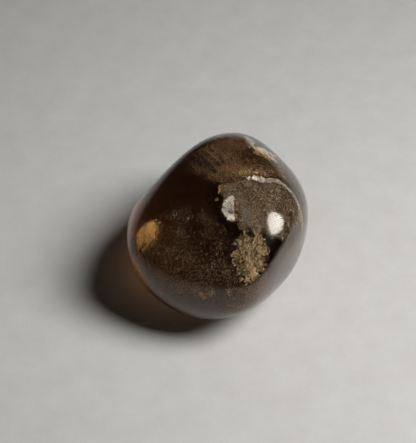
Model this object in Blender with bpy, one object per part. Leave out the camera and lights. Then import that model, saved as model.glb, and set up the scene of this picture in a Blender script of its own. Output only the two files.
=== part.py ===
"""Tumbled smoky quartz: one loose, barrel-polished stone, about 28 mm long.

The stone is a single closed solid. Its form is the one that tumbling gives a
broken crystal: a handful of worn faces whose edges and corners have been
rounded until the faces run into each other. It stands on a small flat spot.

Frame: metres, +Z up, +Y along the longest way across the stone. The origin is
under the middle of the stone, on the plane that the flat spot rests on.
"""
import math

import bmesh
import bpy
import numpy as np

# ---------------------------------------------------------------- dimensions
MM = 0.001
CORE_HEIGHT = 9.6 * MM      # core point above the flat spot
EDGE_SHARPNESS = 10.0       # power of the soft join between worn faces
LUMP = 0.05 * MM            # low, long waves that the tumbling left
MESH_LEVEL = 5              # icosphere level: 5,120 triangles before the cut

# Worn faces: (azimuth from +X in degrees, tilt above level in degrees,
# distance of the face from the core in millimetres).
TOP_FACES = [
    (205, 80, 9.2),     # crown
    (275, 58, 10.4),    # front shoulder
    (323, 60, 12.2),    # front right shoulder
    (262, 30, 12.9),    # front left brow, which eases the shoulder into the nose
    (40, 50, 11.9),     # right shoulder
    (120, 50, 12.0),    # back shoulder
    (190, 45, 10.5),    # left shoulder
]
BELT_FACES = [
    (24, -2, 12.6),     # right side
    (62, 27, 13.0),     # right of the blunt corner
    (115, 0, 15.0),     # blunt corner at the back
    (163, 24, 10.1),    # left of the blunt corner
    (205, -4, 12.1),    # left side
    (238, -20, 13.9),   # left front
    (262, -8, 14.6),    # nose, front left
    (288, 2, 13.8),     # nose, front
    (349, -3, 12.1),    # right front
]
UNDER_FACES = [
    (283, -46, 13.2),   # front
    (328, -42, 11.9),   # right front
    (23, -52, 11.4),    # right
    (83, -50, 11.4),    # back
    (150, -45, 10.6),   # left back
    (233, -54, 12.0),   # left front
    (0, -90, 9.8),      # foot
]


def face_planes(faces):
    """Unit normals and distances (metres) of the worn faces."""
    normals, distances = [], []
    for azimuth, tilt, distance in faces:
        a, t = math.radians(azimuth), math.radians(tilt)
        normals.append((math.cos(t) * math.cos(a), math.cos(t) * math.sin(a), math.sin(t)))
        distances.append(distance * MM)
    return np.array(normals), np.array(distances)


NORMALS, DISTANCES = face_planes(TOP_FACES + BELT_FACES + UNDER_FACES)


def lump(direction):
    """Long, shallow waves over the skin, in the range -1 to 1."""
    x, y, z = direction
    wave = math.sin(4.1 * x + 2.3 * y + 0.4) + math.sin(3.7 * y - 4.4 * z + 1.9)
    wave += math.sin(5.2 * z + 3.1 * x - 0.8)
    return wave / 3.0


def reach(direction):
    """Distance from the core to the skin: the worn faces, softly joined."""
    toward = np.maximum(0.0, NORMALS @ np.array(direction)) / DISTANCES
    distance = float((toward ** EDGE_SHARPNESS).sum() ** (-1.0 / EDGE_SHARPNESS))
    return distance + LUMP * lump(direction)


def smoky_quartz_material():
    """Polished, clear brown quartz."""
    mat = bpy.data.materials.new("smoky_quartz")
    mat.use_nodes = True
    bsdf = mat.node_tree.nodes["Principled BSDF"]
    bsdf.inputs["Base Color"].default_value = (0.115, 0.062, 0.032, 1.0)
    bsdf.inputs["Metallic"].default_value = 0.0
    bsdf.inputs["Roughness"].default_value = 0.06
    bsdf.inputs["IOR"].default_value = 1.544
    bsdf.inputs["Transmission Weight"].default_value = 0.9
    mat.diffuse_color = (0.115, 0.062, 0.032, 1.0)
    return mat


def build_stone():
    bm = bmesh.new()
    bmesh.ops.create_icosphere(bm, subdivisions=MESH_LEVEL, radius=1.0)
    for v in bm.verts:
        u = v.co.normalized()
        v.co = u * reach((u.x, u.y, u.z))
        v.co.z += CORE_HEIGHT

    # The flat spot: everything below the rest plane is worn away.
    cut = bmesh.ops.bisect_plane(
        bm, geom=bm.verts[:] + bm.edges[:] + bm.faces[:], dist=2e-5,
        plane_co=(0, 0, 0), plane_no=(0, 0, 1), clear_inner=True)
    rim = [e for e in cut["geom_cut"] if isinstance(e, bmesh.types.BMEdge)]
    for v in {v for e in rim for v in e.verts}:
        v.co.z = 0.0
    bmesh.ops.holes_fill(bm, edges=rim, sides=0)

    # The origin goes under the middle of the stone.
    xs = [v.co.x for v in bm.verts]
    ys = [v.co.y for v in bm.verts]
    middle = ((min(xs) + max(xs)) / 2, (min(ys) + max(ys)) / 2)
    for v in bm.verts:
        v.co.x -= middle[0]
        v.co.y -= middle[1]

    bmesh.ops.triangulate(bm, faces=[f for f in bm.faces if len(f.verts) > 3])
    bmesh.ops.recalc_face_normals(bm, faces=bm.faces[:])
    mesh = bpy.data.meshes.new("quartz")
    bm.to_mesh(mesh)
    bm.free()
    mesh.shade_smooth()
    mesh.set_sharp_from_angle(angle=math.radians(25))
    stone = bpy.data.objects.new("quartz", mesh)
    mesh.materials.append(smoky_quartz_material())
    bpy.context.scene.collection.objects.link(stone)
    return stone


for old in list(bpy.data.objects):
    bpy.data.objects.remove(old, do_unlink=True)

build_stone()
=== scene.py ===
"""Looks of the tumbled smoky quartz: the polished skin, the clear brown body and
the healed fractures inside it, on a pale floor under one soft lamp."""
import math

import bmesh
import bpy
import numpy as np
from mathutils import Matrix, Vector


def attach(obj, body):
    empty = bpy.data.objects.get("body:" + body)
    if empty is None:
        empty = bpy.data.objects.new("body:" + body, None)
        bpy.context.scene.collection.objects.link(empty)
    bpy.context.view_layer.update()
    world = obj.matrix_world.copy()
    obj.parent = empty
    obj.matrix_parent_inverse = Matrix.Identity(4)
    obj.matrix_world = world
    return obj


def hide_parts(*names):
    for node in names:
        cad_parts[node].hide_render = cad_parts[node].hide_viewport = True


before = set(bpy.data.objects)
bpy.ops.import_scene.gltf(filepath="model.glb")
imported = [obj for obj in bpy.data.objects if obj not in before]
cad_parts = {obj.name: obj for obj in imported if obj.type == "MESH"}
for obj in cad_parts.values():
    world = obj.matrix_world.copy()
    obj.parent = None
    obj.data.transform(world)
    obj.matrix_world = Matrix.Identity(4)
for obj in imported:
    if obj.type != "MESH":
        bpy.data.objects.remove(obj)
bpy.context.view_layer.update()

MM = 0.001
CORE_HEIGHT = 9.6
EDGE_SHARPNESS = 10.0
LUMP = 0.05
CAMERA_AZIMUTH = 23.0       # degrees, the camera stands in front and to the right
CAMERA_ELEVATION = 50.0
# The bloom on the near belt, strongest at the right, is painted reflection of the lit floor.
BLOOM = 0.12                # share of milky bloom on the stone's steep belt, at its right
BLOOM_LEFT = 0.020          # and at its left
BLOOM_UNDER = 0.0           # and on its underside
ROUGH_UNDER = 0.4           # roughness that the underside has beyond the rest
POLISH = (0.09, 0.14)
DENSITY = 238.0             # how strongly the body takes up light, per metre
# The browner tint of the belt at the left, away from the lamp, is painted shade.
TINT = (1.0, 0.94, 0.85)    # colour of the skin, and of its belt at the left
PAINTED_SHADE_TINT_LEFT = (0.80, 0.54, 0.32)

# Worn faces of the stone: azimuth, tilt (degrees), distance from the core (mm).
FACES = [
    (205, 80, 9.2), (275, 58, 10.4), (323, 60, 12.2), (262, 30, 12.9), (40, 50, 11.9), (120, 50, 12.0), (190, 45, 10.5),
    (24, -2, 12.6), (62, 27, 13.0), (115, 0, 15.0), (163, 24, 10.1), (205, -4, 12.1), (238, -20, 13.9),
    (262, -8, 14.6), (288, 2, 13.8), (349, -3, 12.1),
    (283, -46, 13.2), (328, -42, 11.9), (23, -52, 11.4), (83, -50, 11.4), (150, -45, 10.6), (233, -54, 12.0),
    (0, -90, 9.8),
]


def unit(v):
    v = np.asarray(v, float)
    return v / np.linalg.norm(v, axis=-1, keepdims=True)


def face_planes():
    a = np.radians([f[0] for f in FACES])
    t = np.radians([f[1] for f in FACES])
    n = np.stack([np.cos(t) * np.cos(a), np.cos(t) * np.sin(a), np.sin(t)], -1)
    return n, np.array([f[2] for f in FACES])


NORMALS, DISTANCES = face_planes()


def reach(u):
    """Distance (mm) from the core to the skin along unit directions u (n, 3)."""
    toward = np.maximum(0.0, u @ NORMALS.T) / DISTANCES
    r = (toward ** EDGE_SHARPNESS).sum(1) ** (-1.0 / EDGE_SHARPNESS)
    x, y, z = u[:, 0], u[:, 1], u[:, 2]
    wave = np.sin(4.1 * x + 2.3 * y + 0.4) + np.sin(3.7 * y - 4.4 * z + 1.9) + np.sin(5.2 * z + 3.1 * x - 0.8)
    return r + LUMP * wave / 3.0


# ------------------------------------------------------------------ the stone
def stone_mesh():
    bm = bmesh.new()
    bmesh.ops.create_icosphere(bm, subdivisions=7, radius=1.0)
    u = unit(np.array([v.co for v in bm.verts]))
    p = u * reach(u)[:, None]
    p[:, 2] += CORE_HEIGHT
    # a flat spot with a softly rounded rim
    w = 0.05
    z = p[:, 2]
    p[:, 2] = np.where(z > w, z, np.where(z < -w, 0.0, (z + w) ** 2 / (4 * w)))
    middle = (p[:, :2].min(0) + p[:, :2].max(0)) / 2
    p[:, :2] -= middle
    for v, co in zip(bm.verts, p):
        v.co = Vector(co) * MM
    me = bpy.data.meshes.new("quartz_stone")
    bm.to_mesh(me)
    bm.free()
    me.shade_smooth()
    return me, middle


mesh, middle = stone_mesh()
CORE = np.array([-middle[0], -middle[1], CORE_HEIGHT])      # mm, row frame
stone = bpy.data.objects.new("quartz_stone", mesh)
bpy.context.scene.collection.objects.link(stone)

az = math.radians(CAMERA_AZIMUTH)
RIGHT = np.array([math.cos(az), math.sin(az), 0.0])
AWAY = np.array([-math.sin(az), math.cos(az), 0.0])
UP = np.array([0.0, 0.0, 1.0])
VIEW_AXES = np.stack([RIGHT, AWAY, UP])


def seen(points):
    """Row-frame points (mm) of (right, away, up) measured from the core's foot, as the camera faces the stone."""
    return np.asarray(points, float) @ VIEW_AXES + np.array([CORE[0], CORE[1], 0.0])


def inside(p, gap):
    """Points pulled in, where they must be, to lie at least gap (mm) under the skin."""
    q = p - CORE
    length = np.linalg.norm(q, axis=1) + 1e-9
    u = q / length[:, None]
    room = np.maximum(reach(u) - gap, 0.1)
    q = u * np.minimum(length, room)[:, None]
    out = q + CORE
    out[:, 2] = np.maximum(out[:, 2], gap)
    return out


# -------------------------------------------------------------- the materials
def new_material(name):
    mat = bpy.data.materials.new(name)
    mat.use_nodes = True
    nt = mat.node_tree
    return mat, nt, nt.nodes["Principled BSDF"]


def node(nt, kind, **inputs):
    n = nt.nodes.new(kind)
    for key, value in inputs.items():
        n.inputs[key.replace("_", " ")].default_value = value
    return n


def noise(nt, scale_per_mm, detail=4.0, roughness=0.55):
    place = nt.nodes.new("ShaderNodeTexCoord")
    n = node(nt, "ShaderNodeTexNoise", Scale=scale_per_mm / MM, Detail=detail, Roughness=roughness)
    nt.links.new(place.outputs["Object"], n.inputs["Vector"])
    return n.outputs["Fac"]


def ramp(nt, source, stops):
    r = nt.nodes.new("ShaderNodeValToRGB")
    while len(r.color_ramp.elements) < len(stops):
        r.color_ramp.elements.new(0.5)
    for element, (position, colour) in zip(r.color_ramp.elements, stops):
        element.position = position
        element.color = (*colour, 1)
    nt.links.new(source, r.inputs["Fac"])
    return r.outputs["Color"]


def spread(nt, source, low, high, from_low=0.3, from_high=0.7):
    m = node(nt, "ShaderNodeMapRange")
    m.inputs["From Min"].default_value = from_low
    m.inputs["From Max"].default_value = from_high
    m.inputs["To Min"].default_value = low
    m.inputs["To Max"].default_value = high
    nt.links.new(source, m.inputs["Value"])
    return m.outputs["Result"]


def bump(nt, bsdf, source, distance_mm, strength=1.0):
    b = node(nt, "ShaderNodeBump", Strength=strength, Distance=distance_mm * MM)
    nt.links.new(source, b.inputs["Height"])
    nt.links.new(b.outputs["Normal"], bsdf.inputs["Normal"])


def combine(nt, operation, a, b):
    """A math node on two values, each a socket or a number."""
    m = nt.nodes.new("ShaderNodeMath")
    m.operation = operation
    for slot, value in zip(m.inputs, (a, b)):
        if isinstance(value, (int, float)):
            slot.default_value = value
        else:
            nt.links.new(value, slot)
    return m.outputs["Value"]


def quartz_material():
    """Clear brown quartz: light is taken up along its path inside, the polish is a little uneven and the underside has
    lost some of it;
    the steep near belt has a milky bloom, painted reflection of the lit floor, and a browner tint at the left, painted
    shade."""
    mat, nt, bsdf = new_material("smoky_quartz")
    bsdf.inputs["IOR"].default_value = 1.544
    bsdf.inputs["Specular Tint"].default_value = (1.0, 0.95, 0.88, 1)
    place = nt.nodes.new("ShaderNodeTexCoord")
    # 1 where the skin is met from outside, -1 where it is met from within, which turns its normal round
    hit = nt.nodes.new("ShaderNodeNewGeometry")
    outward = combine(nt, "SUBTRACT", 1.0, combine(nt, "MULTIPLY", hit.outputs["Backfacing"], 2.0))

    def facing(direction):
        """How far the skin's outward normal points along a direction."""
        d = nt.nodes.new("ShaderNodeVectorMath")
        d.operation = "DOT_PRODUCT"
        d.inputs[1].default_value = tuple(direction)
        nt.links.new(place.outputs["Normal"], d.inputs[0])
        return combine(nt, "MULTIPLY", d.outputs["Value"], outward)

    right, up = facing(RIGHT), facing(UP)
    belt = spread(nt, facing(UP - 0.317 * AWAY), 1.0, 0.0, 0.50, 0.78)
    under = spread(nt, up, 1.0, 0.0, -0.75, -0.25)
    # a faint milky bloom on the steep belt where it faces the near side, most at the right: painted reflection of the
    # lit floor, in the skin's tint
    mottle = spread(nt, noise(nt, 0.5, 5.0), 0.75, 1.25)
    # more bloom towards the right, where the belt reflects the lit floor: painted reflection
    painted_reflection_share = spread(nt, right, BLOOM_LEFT, BLOOM, -0.1, 0.6)
    near = spread(nt, facing(AWAY), 1.0, 0.1, 0.15, 0.55)
    bloom = combine(nt, "MULTIPLY", combine(nt, "MULTIPLY", belt, near), combine(nt, "MULTIPLY", painted_reflection_share, mottle))
    bloom = combine(nt, "MAXIMUM", bloom, combine(nt, "MULTIPLY", under, BLOOM_UNDER))
    nt.links.new(combine(nt, "SUBTRACT", 1.0, bloom), bsdf.inputs["Transmission Weight"])
    # the belt is tinted browner the less it faces the lamp's side, most at the left: painted shade that dims the light
    # leaving the stone there
    brown = combine(nt, "MULTIPLY", belt, spread(nt, right, 1.0, 0.4, 0.1, 0.9))
    nt.links.new(ramp(nt, brown, [(0.0, TINT), (1.0, PAINTED_SHADE_TINT_LEFT)]), bsdf.inputs["Base Color"])
    polish = spread(nt, noise(nt, 0.9, 6.0), *POLISH)
    nt.links.new(combine(nt, "ADD", polish, combine(nt, "MULTIPLY", under, ROUGH_UNDER)), bsdf.inputs["Roughness"])
    bump(nt, bsdf, noise(nt, 0.55, 2.0), 0.010)
    vol = nt.nodes.new("ShaderNodeVolumeAbsorption")
    vol.inputs["Color"].default_value = (0.63, 0.54, 0.45, 1)
    vol.inputs["Density"].default_value = DENSITY
    nt.links.new(vol.outputs["Volume"], nt.nodes["Material Output"].inputs["Volume"])
    return mat


def flake_material(name, stops, grain=2.0, rough=(0.35, 0.7), mirror=0.0):
    """A mineral's patchy colour; mirror is how much its faces shine like thin gaps in the quartz do."""
    mat, nt, bsdf = new_material(name)
    field = noise(nt, grain, 5.0, 0.65)
    nt.links.new(ramp(nt, field, stops), bsdf.inputs["Base Color"])
    nt.links.new(spread(nt, noise(nt, grain * 2.3, 3.0), *rough), bsdf.inputs["Roughness"])
    bsdf.inputs["Metallic"].default_value = mirror
    bump(nt, bsdf, noise(nt, grain * 4.0, 3.0), 0.02)
    return mat


mesh.materials.append(quartz_material())
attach(stone, "root")
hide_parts("quartz")

VEIL = flake_material("veil_mineral", [(0.30, (0.36, 0.28, 0.18)), (0.52, (0.72, 0.60, 0.43)), (0.70, (0.95, 0.87, 0.70))], rough=(0.45, 0.65), mirror=0.45)
PALE = flake_material("pale_mineral", [(0.30, (0.55, 0.47, 0.34)), (0.55, (0.84, 0.77, 0.62)), (0.75, (0.95, 0.91, 0.82))], 2.5, (0.42, 0.6), 0.6)
SILVER = flake_material("silvery_mineral", [(0.30, (0.60, 0.54, 0.45)), (0.46, (0.94, 0.91, 0.86)), (0.60, (0.99, 0.98, 0.96))], 3.0, (0.42, 0.55), 0.6)
GLINT = flake_material("glinting_mineral", [(0.30, (0.80, 0.74, 0.64)), (0.50, (0.97, 0.94, 0.88)), (0.70, (0.99, 0.98, 0.96))], 3.0, (0.34, 0.46), 1.0)
HAZE = flake_material("grey_mineral", [(0.30, (0.42, 0.41, 0.36)), (0.60, (0.68, 0.68, 0.62)), (0.75, (0.84, 0.84, 0.79))], 2.0, (0.45, 0.65), 0.4)
GOLD = flake_material("golden_mineral", [(0.30, (0.55, 0.34, 0.12)), (0.48, (0.90, 0.64, 0.28)), (0.66, (0.98, 0.86, 0.55))], 3.0, (0.4, 0.55), 0.7)
TAN = flake_material("tan_mineral", [(0.30, (0.52, 0.37, 0.20)), (0.50, (0.88, 0.69, 0.43)), (0.70, (0.98, 0.88, 0.66))], 2.0, (0.42, 0.6), 0.6)
# the next two colour the glow at the left wall: painted light
AMBER_GLOW_PAINT = flake_material("amber_painted_glow", [(0.30, (0.80, 0.38, 0.10)), (0.50, (0.99, 0.58, 0.20)), (0.68, (0.99, 0.74, 0.34))], 1.0, (0.32, 0.44), 1.0)
EMBER_GLOW_PAINT = flake_material("ember_painted_glow", [(0.30, (0.30, 0.12, 0.04)), (0.60, (0.70, 0.34, 0.12)), (0.80, (0.90, 0.52, 0.22))], 1.0)
# brown for the far veil, bright enough to paint the lit floor seen through the stone's top
SMOKE_AND_PAINTED_LIGHT = flake_material("smoky_mineral_painted_light", [(0.30, (0.32, 0.22, 0.13)), (0.52, (0.74, 0.54, 0.35)), (0.72, (0.96, 0.76, 0.53))], 0.45, (0.45, 0.65), 0.45)
WARM = flake_material("warm_mineral", [(0.30, (0.46, 0.29, 0.16)), (0.52, (0.80, 0.55, 0.33)), (0.74, (0.96, 0.74, 0.50))], 0.8)
# warm colour for the near haze, partly painted reflection of the lit floor
GLOW_AND_PAINTED_REFLECTION = flake_material("warm_haze_painted_reflection", [(0.30, (0.50, 0.31, 0.17)), (0.52, (0.84, 0.58, 0.35)), (0.74, (0.97, 0.76, 0.52))], 0.8, (0.45, 0.65), 0.5)
MIST = flake_material("misty_mineral", [(0.30, (0.16, 0.12, 0.08)), (0.55, (0.28, 0.22, 0.15)), (0.75, (0.42, 0.34, 0.24))], 1.2)
DIMTAN = flake_material("dim_mineral", [(0.30, (0.30, 0.23, 0.15)), (0.52, (0.62, 0.50, 0.35)), (0.74, (0.88, 0.76, 0.58))], 1.6, (0.45, 0.65), 0.4)
DARK = flake_material("dark_mineral", [(0.30, (0.014, 0.009, 0.006)), (0.60, (0.04, 0.026, 0.017)), (0.80, (0.09, 0.06, 0.04))], 2.0)


# -------------------------------------------------- things grown in the quartz
def add_piece(name, verts, faces, material, smooth=False):
    me = bpy.data.meshes.new(name)
    me.from_pydata((np.asarray(verts) * MM).tolist(), [], np.asarray(faces).tolist())
    me.update()
    if smooth:
        me.shade_smooth()
    me.materials.append(material)
    ob = bpy.data.objects.new(name, me)
    bpy.context.scene.collection.objects.link(ob)
    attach(ob, "root")
    return ob


def platelets(name, centres, normals, length, width, material, seed, along=None, thick=0.12, gap=0.12, k=6):
    """Small six-sided crystals, each one closed: flat lens shapes around their own centre."""
    rng = np.random.default_rng(seed)
    n = len(centres)
    length = np.broadcast_to(length, n) * rng.uniform(0.6, 1.4, n)
    width = np.broadcast_to(width, n) * rng.uniform(0.6, 1.4, n)
    normals = unit(normals)
    wild = rng.normal(size=(n, 3))
    if along is not None:
        wild = np.asarray(along) + 0.35 * wild
    a = unit(wild - (wild * normals).sum(1)[:, None] * normals)
    b = np.cross(normals, a)
    centres = inside(centres, gap + 0.5 * length.max())
    angle = np.arange(k) / k * 2 * np.pi + rng.uniform(-0.4, 0.4, (n, k))
    radius = rng.uniform(0.55, 1.15, (n, k)) / 2
    rim = (centres[:, None] + a[:, None] * (np.cos(angle) * radius * length[:, None])[..., None]
           + b[:, None] * (np.sin(angle) * radius * width[:, None])[..., None]
           + normals[:, None] * (rng.uniform(-1, 1, (n, k)) * thick * width[:, None])[..., None])
    t = thick * np.minimum(length, width)[:, None]
    verts = np.concatenate([rim, (centres + normals * t)[:, None], (centres - normals * t)[:, None]], 1)
    base = (np.arange(n) * (k + 2))[:, None]
    i = np.arange(k)
    j = (i + 1) % k
    top = np.stack([i, j, np.full(k, k)], 1)
    low = np.stack([j, i, np.full(k, k + 1)], 1)
    faces = (base[:, :, None] + np.concatenate([top, low])[None]).reshape(-1, 3)
    return add_piece(name, verts.reshape(-1, 3), faces, material)


def loop(points, count):
    """Smooth closed curve through the points, as count points."""
    p = np.asarray(points, float)
    n = len(p)
    s = np.arange(count) / count * n
    i = np.floor(s).astype(int)
    f = (s - i)[:, None]
    a, b, c, d = p[(i - 1) % n], p[i % n], p[(i + 1) % n], p[(i + 2) % n]
    return 0.5 * (2 * b + (c - a) * f + (2 * a - 5 * b + 4 * c - d) * f ** 2 + (3 * b - a - 3 * c + d) * f ** 3)


def path(points, s):
    """Points at shares s (0 to 1) along a smooth open curve through the points."""
    p = np.asarray(points, float)
    p = np.vstack([2 * p[0] - p[1], p, 2 * p[-1] - p[-2]])
    n = len(p) - 3
    s = np.clip(np.asarray(s), 0, 1 - 1e-9) * n
    i = np.floor(s).astype(int)
    f = (s - i)[:, None]
    a, b, c, d = p[i], p[i + 1], p[i + 2], p[i + 3]
    return 0.5 * (2 * b + (c - a) * f + (2 * a - 5 * b + 4 * c - d) * f ** 2 + (3 * b - a - 3 * c + d) * f ** 3)


def patches(p, scale, phase=0.0):
    """A soft mottle from 0 to 1 over space."""
    x, y, z = (p * scale).T
    w = (np.sin(x + 1.7 * np.sin(0.8 * y + phase)) + np.sin(y * 1.3 + 1.3 * np.sin(1.1 * z + 2 * phase))
         + np.sin(1.7 * z - 0.9 * x + phase) + 0.6 * np.sin(2.9 * x + 3.1 * y + phase) + 0.6 * np.sin(3.3 * y - 2.7 * z))
    return 1 / (1 + np.exp(-1.6 * w))


def sheet_points(rim, centre, bulge, count, seed, edge=1.0, crumple=0.10):
    """Points on a curved sheet inside a closed rim: positions, normals, and how far out (0 to 1) and round (0 to 1) they lie."""
    rng = np.random.default_rng(seed)
    ring = loop(seen(rim), 720)
    mid = seen([centre])[0]
    turn = rng.uniform(0, 1, count)
    out = rng.uniform(0, 1, count) ** (0.5 / edge)
    at = ring[(turn * 720).astype(int) % 720]
    flat = unit(np.cross(ring[0] - mid, ring[240] - mid) + np.cross(ring[240] - mid, ring[480] - mid) + np.cross(ring[480] - mid, ring[0] - mid))
    if flat[2] < 0:
        flat = -flat
    p = mid + (at - mid) * out[:, None] + flat * (bulge * (1 - out ** 2))[:, None]
    p = p + flat * (crumple * (2 * patches(p, 1.9, 0.6) - 1))[:, None]
    normals = np.broadcast_to(flat, p.shape) + 0.3 * bulge * (at - mid) * out[:, None] / 10
    return p, normals, out, turn


def veil(name, rim, centre, bulge, material, seed, count, size, stretch=1.3, mottle=1.3, sharp=1.0, thin=0.2, fade=0.3,
         depth=0.10, face=None, tumble=0.35, along=None, k=4, thick=0.12):
    """A curved sheet of very small crystals inside a closed rim: patchy, and thinner towards the rim."""
    rng = np.random.default_rng(seed)
    p, n, out, turn = sheet_points(rim, centre, bulge, count, seed + 1)
    field = 0.6 * patches(p, mottle, 0.3) + 0.4 * patches(p, 2.6 * mottle, 1.7)
    field = np.clip((field - 0.5) * sharp + 0.5, 0, 1)
    chance = (thin + (1 - thin) * field) * np.clip((1 - out) / fade, 0, 1)
    p = p[rng.uniform(0, 1, len(p)) < chance]
    p = p + rng.normal(0, depth, p.shape)
    normals = (LIT if face is None else face) + tumble * rng.normal(size=p.shape)
    sizes = size * np.exp(rng.normal(0, 0.3, len(p)))
    return platelets(name, p, normals, sizes * stretch, sizes, material, seed + 2, along=along, k=k, thick=thick)


def drift(name, spots, material, seed, size, stretch=1.3, face=None, tumble=0.4, along=None, k=4, thick=0.12):
    """Soft clouds of very small crystals: each spot is (right, away, up, spread in mm, count)."""
    rng = np.random.default_rng(seed)
    p = np.concatenate([seen([(x, y, z)]) + rng.normal(0, r, (count, 3)) for x, y, z, r, count in spots])
    normals = (LIT if face is None else face) + tumble * rng.normal(size=p.shape)
    sizes = size * np.exp(rng.normal(0, 0.3, len(p)))
    return platelets(name, p, normals, sizes * stretch, sizes, material, seed + 1, along=along, k=k, thick=thick)


def sprinkle(name, zones, material, seed, size=0.10, stretch=1.0, tumble=0.6, k=6, face=None, thick=0.12):
    """Loose crystals in balls: each zone is (right, away, up, radius in mm, count)."""
    rng = np.random.default_rng(seed)
    parts = []
    for x, y, z, r, count in zones:
        d = unit(rng.normal(size=(count, 3))) * (r * rng.uniform(0, 1, count) ** 0.5)[:, None]
        parts.append(seen([(x, y, z)]) + d @ VIEW_AXES)
    p = np.concatenate(parts)
    normals = (LIT if face is None else face) + tumble * rng.normal(size=p.shape)
    sizes = size * np.exp(rng.normal(0, 0.35, len(p)))
    return platelets(name, p, normals, sizes * stretch, sizes, material, seed + 1, k=k, thick=thick)


# Directions that crystals face: up and a little to the front, up and to the right.
LIT = unit(np.array([0.10, -0.32, 0.94]) @ VIEW_AXES)
LIT_RIGHT = unit(np.array([0.45, -0.20, 0.87]) @ VIEW_AXES)
TOWARD = LIT
# Crystals that face this way shine: it is halfway between the light and the eye, inside the stone.
HALFWAY = unit(np.array([0.16, -0.32, 0.935]) @ VIEW_AXES)
HALFWAY_NEAR = unit(np.array([0.23, -0.50, 0.834]) @ VIEW_AXES)
HALFWAY_FAR = unit(np.array([0.15, -0.11, 0.98]) @ VIEW_AXES)
HALFWAY_RIGHT = unit(np.array([0.41, -0.29, 0.87]) @ VIEW_AXES)
HALFWAY_CORNER = unit(np.array([0.43, 0.01, 0.90]) @ VIEW_AXES)
HALFWAY_LEFT = unit(np.array([-0.04, -0.385, 0.922]) @ VIEW_AXES)

def membrane(name, rim, centre, bulge, material, seed, cover=1.0, ragged=0.25, crumple=0.10, grain=0.03, rings=60, spokes=240, hole_size=2.2, gap=0.15, thick=0.03):
    """A thin crumpled sheet inside a closed rim, closed on both sides, with ragged holes: cover is how whole it is."""
    rng = np.random.default_rng(seed)
    ring = loop(seen(rim), spokes)
    mid = seen([centre])[0]
    third = spokes // 3
    flat = unit(np.cross(ring[0] - mid, ring[third] - mid) + np.cross(ring[third] - mid, ring[2 * third] - mid)
                + np.cross(ring[2 * third] - mid, ring[0] - mid))
    flat = flat if flat[2] > 0 else -flat
    out = (0.04 + 0.96 * np.arange(rings + 1) / rings)[:, None, None]
    p = mid + (ring - mid)[None] * out + flat * bulge * (1 - out ** 2)
    shape = p.shape[:2]
    q = p.reshape(-1, 3)
    q = q + flat * (crumple * (2 * patches(q, 1.9, 0.6) - 1) + 0.4 * crumple * (2 * patches(q, 5.1, 1.4) - 1))[:, None]
    q = q + rng.normal(0, grain, q.shape)
    q = inside(q, gap)
    p = q.reshape(*shape, 3)
    mids = (p[:-1] + np.roll(p, -1, 1)[:-1] + p[1:] + np.roll(p, -1, 1)[1:]) / 4
    m = mids.reshape(-1, 3)
    o = np.broadcast_to(out[:-1, :, 0], (rings, spokes)).reshape(-1)
    field = 0.6 * patches(m, hole_size, 0.2) + 0.4 * patches(m, hole_size * 2.6, 1.9) + rng.normal(0, 0.05, len(m))
    limit = (1 - cover) + ragged * np.clip((o - 0.72) / 0.28, 0, 1) ** 1.5 * 2.4
    keep = (field > limit).reshape(rings, spokes)
    for _ in range(6):      # no two cells may meet at a corner only
        a, b = keep[:-1], keep[1:]
        ar, br = np.roll(a, -1, 1), np.roll(b, -1, 1)
        one = a & br & ~ar & ~b
        two = ar & b & ~a & ~br
        if not one.any() and not two.any():
            break
        keep[:-1] |= two
        keep[1:] |= one
    count = (rings + 1) * spokes
    verts = np.concatenate([p.reshape(-1, 3) + flat * thick / 2, p.reshape(-1, 3) - flat * thick / 2])
    turned = np.cross(p[1, 0] - p[0, 0], p[0, 1] - p[0, 0]) @ flat > 0
    faces = []

    def put(a, b, c, d):
        faces.append((a, b, c, d) if turned else (d, c, b, a))

    for i, j in zip(*np.nonzero(keep)):
        k = (j + 1) % spokes
        a, b, c, d = i * spokes + j, (i + 1) * spokes + j, (i + 1) * spokes + k, i * spokes + k
        put(a, b, c, d)
        put(d + count, c + count, b + count, a + count)
        if not keep[i, (j - 1) % spokes]:
            put(b, a, a + count, b + count)
        if not keep[i, k]:
            put(d, c, c + count, d + count)
        if i == 0 or not keep[i - 1, j]:
            put(a, d, d + count, a + count)
        if i == rings - 1 or not keep[i + 1, j]:
            put(c, b, b + count, c + count)
    faces = np.array(faces)
    used, faces = np.unique(faces, return_inverse=True)
    return add_piece(name, verts[used], faces.reshape(-1, 4), material)


# The large healed fracture: a domed sheet that rises to the skin along its far and right edge.
RIM = [
    (0.5, -0.9, 17.3), (1.3, -0.2, 17.3), (3.2, 0.2, 17.5), (4.4, 0.5, 17.5), (5.8, 0.5, 17.3), (7.2, 0.7, 16.9), (8.4, 0.2, 16.3),
    (9.2, -0.4, 15.7), (9.8, -1.4, 15.2), (10.2, -2.6, 14.7), (10.0, -4.5, 14.3), (8.4, -6.4, 14.4), (6.2, -6.6, 14.5),
    (4.6, -6.0, 15.0), (3.4, -5.0, 15.6), (2.4, -3.8, 16.2), (1.0, -2.4, 17.0),
]
veil("healed_fracture", RIM, (5.6, -2.6, 15.7), 0.3, VEIL, 14, 21000, 0.115, mottle=1.2, sharp=1.6, thin=0.30, fade=0.16, face=HALFWAY, tumble=0.26, thick=0.05)

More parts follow.
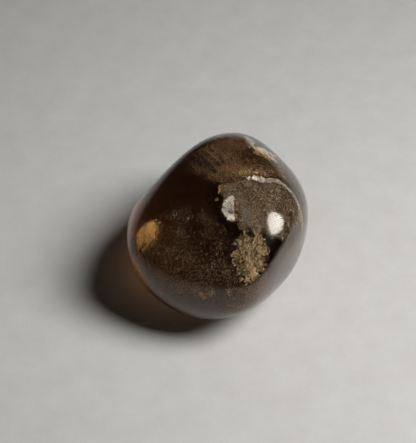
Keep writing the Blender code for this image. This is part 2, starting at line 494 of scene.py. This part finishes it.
# Its bright far edge, where the sheet breaks into pale crystals.
rng = np.random.default_rng(21)
s = rng.uniform(0, 1, 3000)
EDGE = [(6.6, 0.3, 17.5), (7.4, 0.5, 17.1), (8.3, 0.2, 16.5), (9.1, -0.3, 15.9), (9.8, -1.3, 15.4), (10.2, -2.4, 14.9), (10.3, -3.4, 14.0), (10.4, -3.8, 12.8)]
p = path(seen(EDGE), s) + rng.normal(0, 0.11, (3000, 3))
platelets("fracture_edge", p, HALFWAY_RIGHT + 0.20 * rng.normal(size=p.shape), 0.20, 0.12, PALE, 22, thick=0.05)
p = path(seen(EDGE), rng.uniform(0.15, 0.75, 500)) + rng.normal(0, 0.10, (500, 3)) + 0.12 * UP
platelets("edge_glints", p, HALFWAY_RIGHT + 0.14 * rng.normal(size=p.shape), 0.14, 0.09, GLINT, 24, thick=0.03)

sprinkle("pale_crystals", [
    (5.0, 0.2, 18.0, 0.42, 110), (5.8, 0.0, 17.9, 0.45, 130), (6.6, 0.2, 17.5, 0.35, 90), (4.2, 0.3, 17.9, 0.3, 40), (7.3, 0.4, 17.1, 0.3, 40),
], GLINT, 31, 0.14, 1.5, 0.14, face=HALFWAY, thick=0.025)

# The silvery flake and what lies beside it.
rng = np.random.default_rng(41)
s = rng.uniform(0, 1, 1100)
width = 0.12 + 0.60 * np.sin(np.pi * np.clip(s * 0.95 + 0.02, 0, 1)) ** 0.8
FLAKE = [(2.0, -2.7, 18.0), (1.6, -3.4, 17.9), (1.45, -4.3, 17.7), (1.6, -5.1, 17.4), (2.0, -5.9, 17.1)]
p = path(seen(FLAKE), s) + (rng.uniform(-1, 1, (1100, 1)) * width[:, None]) * RIGHT + rng.normal(0, 0.07, (1100, 3))
p = p[patches(p, 4.6, 1.1) > 0.22]
platelets("silvery_crystals", p + 0.10 * UP, HALFWAY + 0.12 * rng.normal(size=p.shape), 0.17, 0.13, GLINT, 42, thick=0.025)
membrane("silvery_flake", [(2.1, -2.6, 18.0), (2.2, -3.3, 17.9), (2.1, -4.1, 17.7), (2.2, -5.0, 17.4), (2.3, -5.8, 17.0), (1.9, -6.0, 17.0), (1.5, -5.3, 17.3),
    (1.3, -4.7, 17.5), (0.8, -4.4, 17.6), (1.0, -3.8, 17.8), (1.35, -3.3, 17.9), (1.7, -2.8, 18.0)], (1.7, -4.3, 17.7), 0.12, SILVER, 43,
    cover=0.80, ragged=0.22, crumple=0.16, grain=0.035, rings=24, spokes=110, hole_size=5.5)
drift("flake_shade", [(2.7, -3.4, 17.2, 0.25, 160), (2.8, -4.4, 17.0, 0.25, 200), (2.6, -5.3, 16.9, 0.25, 160)], WARM, 46, 0.10)
drift("grey_patch", [(3.4, -4.5, 17.2, 0.28, 260), (3.9, -5.1, 17.1, 0.30, 360), (4.0, -5.8, 16.9, 0.26, 260), (3.2, -5.6, 17.0, 0.25, 160), (3.0, -3.0, 17.4, 0.3, 160)], HAZE, 51, 0.10, face=HALFWAY, tumble=0.3, thick=0.05)
sprinkle("gold_curve", [(2.4, -3.0, 17.9, 0.22, 30), (2.65, -3.6, 17.8, 0.22, 30), (2.65, -4.4, 17.5, 0.2, 30), (2.4, -5.1, 17.3, 0.25, 22)], GOLD, 55, 0.09, 1.5, 0.25, face=HALFWAY, thick=0.04)
sprinkle("gold_tip", [(0.55, -1.1, 17.9, 0.28, 60), (1.0, -0.9, 17.8, 0.26, 34), (0.5, -1.7, 17.7, 0.25, 24), (0.1, -2.9, 17.6, 0.22, 12)], GOLD, 58, 0.11, 1.5, 0.25, face=HALFWAY, thick=0.04)

# The small fracture in the far corner, with gold beside it.
CORNER = [(3.9, 8.6, 16.7), (4.5, 7.6, 17.1), (5.3, 6.5, 17.2), (6.4, 6.1, 16.6), (7.5, 6.0, 15.7)]
rng = np.random.default_rng(61)
p = path(seen(CORNER), rng.uniform(0, 1, 4200)) + rng.normal(0, 0.20, (4200, 3)) + rng.uniform(-1.0, 0.3, (4200, 1)) * AWAY
p = p[patches(p, 2.4, 2.0) > 0.38]
platelets("corner_fracture", p, HALFWAY_CORNER + 0.12 * rng.normal(size=p.shape), 0.19, 0.13, GLINT, 62, k=5, thick=0.035)
drift("corner_gold", [(5.2, 5.0, 17.8, 0.20, 110), (5.9, 4.8, 17.5, 0.24, 150), (6.5, 4.6, 17.2, 0.20, 90), (4.0, 3.2, 18.4, 0.05, 5), (4.9, 3.4, 18.3, 0.05, 5), (4.1, 7.3, 17.3, 0.1, 14)], GOLD, 65, 0.12, 1.5, k=6, face=HALFWAY_CORNER, tumble=0.2, thick=0.04)
drift("gold_flecks", [(3.2, 1.3, 17.8, 0.26, 60), (4.0, 1.5, 17.8, 0.30, 80), (4.8, 1.2, 17.8, 0.26, 50), (2.5, 0.9, 17.7, 0.30, 30), (5.6, 1.8, 17.5, 0.40, 30), (4.4, 0.2, 18.0, 0.3, 24)], GOLD, 68, 0.09, 1.5, k=6, face=HALFWAY, tumble=0.25, thick=0.04)

# Tan leaves in the near half, brushed away from the near end, with a warm haze between them.
TAN_RIM = [(4.4, -6.6, 16.5), (5.9, -7.3, 16.0), (6.5, -8.8, 15.1), (6.2, -10.3, 14.2), (5.3, -11.9, 12.9), (4.0, -12.4, 12.7), (2.7, -11.9, 13.1),
    (2.0, -10.4, 14.2), (1.8, -8.7, 15.3), (2.8, -7.6, 16.0)]
veil("tan_leaves", TAN_RIM, (4.2, -9.6, 14.9), 0.1, TAN, 72, 3000, 0.135, 2.4, mottle=2.6, sharp=3.0, thin=0.06, fade=0.45, depth=0.08, face=HALFWAY_NEAR, tumble=0.22,
     along=AWAY + 0.3 * RIGHT, k=6, thick=0.05)
veil("tan_haze", TAN_RIM, (4.2, -9.6, 14.6), 0.1, WARM, 76, 4200, 0.085, mottle=2.0, sharp=1.5, thin=0.25, fade=0.6, depth=0.2)
drift("tan_glints", [(5.4, -8.4, 15.6, 0.5, 50), (3.2, -9.2, 15.1, 0.5, 50), (4.6, -10.4, 14.3, 0.5, 40), (5.6, -9.6, 14.8, 0.3, 24), (3.4, -10.9, 13.9, 0.4, 24)], GOLD, 79, 0.09, 1.8, k=6, face=HALFWAY_NEAR, tumble=0.2, thick=0.04)

DIM = [
    (-5.6, -3.4, 14.8, 0.5, 90), (-4.4, -3.4, 15.0, 0.5, 78), (-3.3, -3.9, 14.9, 0.5, 90), (-4.6, -5.3, 14.2, 0.45, 84), (-3.6, -6.0, 14.0, 0.5, 78),
    (-1.6, -3.9, 15.2, 0.45, 72), (-0.6, -4.6, 15.0, 0.45, 114), (-1.0, -5.9, 14.5, 0.5, 90), (0.8, -5.6, 14.9, 0.5, 78),
    (-5.6, -7.4, 13.0, 0.7, 90), (-3.2, -8.4, 13.0, 0.8, 114), (0.4, -7.6, 14.0, 0.7, 108), (-0.4, -9.6, 13.0, 0.8, 102), (1.2, -10.2, 13.0, 0.7, 90),
]
drift("dim_flakes", DIM, DIMTAN, 81, 0.10, 1.25, face=HALFWAY_NEAR, tumble=0.3, k=5, thick=0.05)
drift("low_cluster", [(-1.9, -12.2, 10.7, 0.20, 60), (-1.5, -12.5, 10.2, 0.17, 70), (-1.0, -12.2, 10.9, 0.3, 36), (-2.6, -11.9, 10.9, 0.3, 36), (-0.3, -12.2, 11.0, 0.25, 30),
    (-4.6, -11.4, 10.4, 0.3, 16), (1.6, -12.2, 11.2, 0.25, 30)], TAN, 84, 0.11, 1.3, k=6, face=HALFWAY_NEAR, tumble=0.15, thick=0.05)
sprinkle("ring_of_specks", [(-1.5, -9.9, 12.8, 0.4, 9), (-1.0, -10.2, 12.6, 0.35, 8), (-6.2, -9.0, 12.9, 0.08, 2), (8.0, -7.2, 15.3, 0.35, 26), (8.1, -7.4, 15.4, 0.09, 10)], PALE, 87, 0.10, 1.1)
drift("skin_dash", [(1.6, -13.3, 9.5, 0.14, 50), (2.2, -13.3, 9.3, 0.14, 60), (2.8, -13.2, 9.1, 0.12, 50), (3.5, -13.1, 9.2, 0.12, 40)], GOLD, 90, 0.11, 2.0, k=6, face=HALFWAY_NEAR, tumble=0.18, thick=0.05)
drift("foot_gold", [(-7.0, -10.6, 8.6, 0.25, 26), (-5.8, -11.6, 8.0, 0.3, 34), (-4.8, -12.2, 7.6, 0.3, 26), (-8.2, -9.6, 9.4, 0.25, 20)], TAN, 92, 0.10, 1.6, k=6)

# Dust all through the clear parts.
DUST = [
    (0.0, -2.0, 15.5, 5.5, 300), (5.0, -1.0, 15.5, 4.5, 200), (9.2, 0.5, 14.8, 1.8, 90), (9.3, -3.0, 14.6, 1.5, 60),
    (2.0, 5.0, 15.5, 3.5, 160), (-5.0, -5.0, 12.5, 4.0, 150), (1.0, -9.0, 12.0, 3.5, 140), (6.5, 3.0, 15.5, 2.5, 130),
]
sprinkle("dust", DUST, PALE, 95, 0.05, 1.2, k=4)
HAZE_ZONES = [
    (2.5, 4.5, 15.0, 4.0, 900), (-1.5, -2.0, 14.5, 5.0, 900), (4.5, -2.0, 14.5, 4.5, 900), (0.5, -8.0, 12.0, 4.5, 1100), (-5.5, -5.0, 12.0, 4.0, 700),
]
sprinkle("fine_haze", HAZE_ZONES, MIST, 97, 0.065, 1.2, k=4)

# A thin brown haze between the fracture and the tan leaves.
sprinkle("middle_haze", [(3.4, -6.3, 16.6, 0.7, 420), (5.0, -6.5, 16.3, 0.7, 460), (6.6, -6.3, 15.8, 0.7, 460), (7.7, -5.8, 15.3, 0.6, 300)], DIMTAN, 131, 0.09, 1.4, 0.3, face=HALFWAY_NEAR, thick=0.04)

# Warm haze under the skin of the near side, thicker towards the foot: partly real haze, partly painted reflection of
# the lit floor on the near lower skin.
rng = np.random.default_rng(121)
COUNT = 26000
turns = np.radians(rng.uniform(205, 300, COUNT))
tilts = np.radians(rng.triangular(-38, 2, 40, COUNT))
u = np.stack([np.cos(tilts) * np.cos(turns), np.cos(tilts) * np.sin(turns), np.sin(tilts)], 1) @ VIEW_AXES
p = CORE + u * (reach(u) - rng.uniform(0.3, 2.4, COUNT))[:, None]
keep = rng.uniform(0, 1, COUNT) < 0.35 + 0.65 * patches(p, 0.7, 1.1)
p, u = p[keep], u[keep]
platelets("near_haze_and_painted_reflection", p, HALFWAY_NEAR + 0.15 * u + 0.25 * rng.normal(size=p.shape), 0.085, 0.065, GLOW_AND_PAINTED_REFLECTION, 122, k=4, thick=0.05)

# A brushed golden patch close to the left wall, a glowing spot beside it and a dim glow around both: painted glow,
# orange crystals that stand in for the lamp light the stone focuses onto the floor at its left.
LEFT_RIM = [(-10.2, -5.2, 13.4), (-9.6, -5.5, 13.9), (-9.1, -6.4, 13.5), (-9.3, -7.2, 12.5), (-10.1, -7.3, 11.7), (-10.9, -6.4, 11.2), (-11.0, -5.3, 11.8), (-10.7, -4.8, 12.8)]
veil("left_painted_glow_patch", LEFT_RIM, (-10.0, -6.2, 12.7), 0.1, AMBER_GLOW_PAINT, 103, 5200, 0.10, 2.4, mottle=2.4, sharp=1.2, thin=0.35, fade=0.8, depth=0.06, face=HALFWAY_LEFT, tumble=0.12, thick=0.025,
     along=0.25 * RIGHT + 0.7 * AWAY + 0.7 * UP)
drift("left_glow", [(-8.2, -5.1, 14.5, 0.42, 1200), (-8.6, -5.5, 14.0, 0.6, 1000), (-10.0, -6.3, 12.9, 0.45, 2200), (-9.3, -5.6, 13.7, 0.5, 1200), (-10.5, -6.6, 12.0, 0.35, 1100)], AMBER_GLOW_PAINT, 107, 0.085, face=HALFWAY_LEFT, tumble=0.14, thick=0.025)
drift("left_embers", [(-7.6, -4.4, 13.8, 0.5, 420), (-7.0, -4.6, 13.4, 0.6, 300), (-8.4, -5.2, 12.6, 0.8, 300), (-9.8, -3.4, 12.8, 0.7, 240)], EMBER_GLOW_PAINT, 109, 0.075)

# A smoky veil deep in the far part, soft brown, in front of which the dark feathers lie: partly a real veil, partly
# painted light, its bright brown standing in for the lit floor seen through the stone's far top.
FAR_RIM = [(-3.6, 4.8, 13.6), (-1.6, 8.0, 12.8), (1.2, 10.0, 12.2), (4.0, 9.8, 12.6), (6.6, 7.8, 13.2), (8.8, 4.6, 13.2), (9.0, 2.0, 13.6), (5.6, 0.8, 15.0), (2.0, 0.6, 15.4), (-1.4, 1.8, 14.8)]
veil("far_veil_and_painted_light", FAR_RIM, (2.6, 5.4, 14.0), 0.3, SMOKE_AND_PAINTED_LIGHT, 105, 22000, 0.15, mottle=0.55, sharp=1.6, thin=0.45, fade=0.5, depth=0.15, face=HALFWAY_FAR, tumble=0.2, thick=0.05)


# Dark ribbons: a branching crack over the golden patch of painted glow.
def ribbon(name, lines, material, seed, gap=0.1):
    """Thin closed strips along open curves: each line is (points, width at its middle in mm)."""
    rng = np.random.default_rng(seed)
    verts, faces = [], []
    for points, wide in lines:
        m = 14
        c = path(seen(points), np.linspace(0, 1, m))
        c = c + rng.normal(0, wide * 0.22, c.shape)
        along = unit(np.gradient(c, axis=0))
        side = unit(np.cross(along, TOWARD))
        w = wide * (0.25 + 0.75 * np.sin(np.linspace(0.25, np.pi - 0.1, m))) * rng.uniform(0.6, 1.4, m) / 2
        c = inside(c, gap + wide)
        flat = unit(np.cross(side, along))
        ring = np.stack([c + side * w[:, None], c + flat * (w * 0.35)[:, None], c - side * w[:, None], c - flat * (w * 0.35)[:, None]], 1)
        base = len(verts)
        verts.extend(ring.reshape(-1, 3))
        for i in range(m - 1):
            for k in range(4):
                a, b = base + 4 * i + k, base + 4 * i + (k + 1) % 4
                faces.append((a, b, b + 4))
                faces.append((a, b + 4, a + 4))
        e = base + 4 * (m - 1)
        faces += [(base, base + 2, base + 1), (base, base + 3, base + 2), (e, e + 1, e + 2), (e, e + 2, e + 3)]
    return add_piece(name, verts, faces, material)


ribbon("left_crack", [
    ([(-8.9, -6.5, 14.1), (-9.3, -7.0, 13.5), (-9.7, -7.3, 12.9), (-10.2, -7.4, 12.0)], 0.26),
    ([(-9.6, -7.2, 13.0), (-9.2, -7.8, 12.8), (-9.0, -8.3, 12.4), (-9.0, -8.8, 11.5)], 0.20),
    ([(-9.2, -7.0, 13.6), (-8.9, -6.9, 13.8), (-8.6, -6.7, 14.0)], 0.12),
    ([(-9.7, -7.3, 12.8), (-10.2, -6.9, 12.4), (-10.8, -6.2, 12.0)], 0.12),
], DARK, 111)


def feathers(name, lines, material, seed, length, width):
    """Soft dark strokes: small crystals scattered along open curves, each line (points, spread in mm, count)."""
    rng = np.random.default_rng(seed)
    places, ways = [], []
    for points, loose, count in lines:
        t = rng.uniform(0, 1, count)
        c = path(seen(points), t)
        ways.append(unit(path(seen(points), np.clip(t + 0.02, 0, 1)) - path(seen(points), np.clip(t - 0.02, 0, 1))))
        places.append(c + rng.normal(0, 1, c.shape) * (loose * (0.35 + 0.65 * np.sin(np.pi * t)))[:, None])
    p, ways = np.concatenate(places), np.concatenate(ways)
    return platelets(name, p, LIT + 0.15 * rng.normal(size=p.shape), length, width, material, seed + 1, along=ways, k=6)


feathers("dark_feathers", [
    ([(-2.6, 5.6, 16.9), (-1.8, 4.6, 17.2), (-1.1, 3.4, 17.5), (-0.6, 2.4, 17.7), (0.0, 1.6, 17.7)], 0.34, 1050),
    ([(-1.8, 6.0, 16.9), (-1.0, 4.8, 17.3), (-0.1, 3.6, 17.6), (0.7, 2.6, 17.8)], 0.22, 380),
    ([(-1.0, 6.4, 16.8), (0.0, 5.4, 17.2), (0.6, 4.2, 17.6), (1.0, 3.0, 17.8)], 0.20, 210),
    ([(-3.0, 4.9, 16.9), (-2.4, 4.0, 17.2), (-1.8, 3.0, 17.4)], 0.32, 500),
], DARK, 115, 0.17, 0.065)

# ---------------------------------------------------------------- the stage
bm = bmesh.new()
bmesh.ops.create_grid(bm, x_segments=1, y_segments=1, size=1.5)
me = bpy.data.meshes.new("floor")
bm.to_mesh(me); bm.free()
floor = bpy.data.objects.new("floor", me)
floor.location = (0, 0, -0.00005)
bpy.context.scene.collection.objects.link(floor)
mat, nt, bsdf = new_material("paper")
nt.links.new(ramp(nt, noise(nt, 0.25, 6.0, 0.6), [(0.30, (0.75, 0.735, 0.715)), (0.70, (0.81, 0.80, 0.78))]), bsdf.inputs["Base Color"])
bsdf.inputs["Roughness"].default_value = 0.9
bump(nt, bsdf, noise(nt, 3.0, 3.0), 0.02)
me.materials.append(mat)

world = bpy.data.worlds.new("studio")
world.use_nodes = True
world.node_tree.nodes["Background"].inputs["Color"].default_value = (0.011, 0.011, 0.011, 1)
bpy.context.scene.world = world


def soft_box(name, direction, distance, wide, high, energy, aim_at, beam, colour=(1, 1, 1)):
    """An oval soft lamp: direction and aim are (right, away, up) as the camera faces the stone, aim in mm."""
    d = unit(np.array(direction) @ VIEW_AXES)
    data = bpy.data.lights.new(name, "AREA")
    data.shape = "ELLIPSE"
    data.size = wide
    data.size_y = high
    data.energy = energy
    data.color = colour
    data.spread = beam
    ob = bpy.data.objects.new(name, data)
    ob.location = Vector(seen((0, 0, 9)) * MM + d * distance)
    look = ob.location - Vector(seen(aim_at) * MM)
    ob.rotation_euler = look.to_track_quat("Z", "Y").to_euler()
    bpy.context.scene.collection.objects.link(ob)
    return ob


key = soft_box("key", (0.75, -0.15, 1.0), 0.26, 0.102, 0.157, 0.165, (12, -16, 0), 1.6, (1.0, 0.99, 0.97))

# ---------------------------------------------------------------- the camera
cam_data = bpy.data.cameras.new("camera")
cam = bpy.data.objects.new("camera", cam_data)
bpy.context.scene.collection.objects.link(cam)
el = math.radians(CAMERA_ELEVATION)
back = -AWAY * math.cos(el) + UP * math.sin(el)
cam_up = AWAY * math.sin(el) + UP * math.cos(el)
distance = 160.0
aim = seen((0, 0, 9)) - RIGHT * (8 / 7.4) + cam_up * (5.5 / 7.4)
cam.location = Vector((aim + back * distance) * MM)
cam.rotation_euler = Vector(back).to_track_quat("Z", "Y").to_euler()
cam_data.sensor_width = 36.0
cam_data.lens = 36.0 * 7.4 * distance / 443.0
cam_data.clip_start = 0.01
cam_data.clip_end = 5.0
bpy.context.scene.camera = cam
bpy.context.scene.view_settings.view_transform = "Standard"
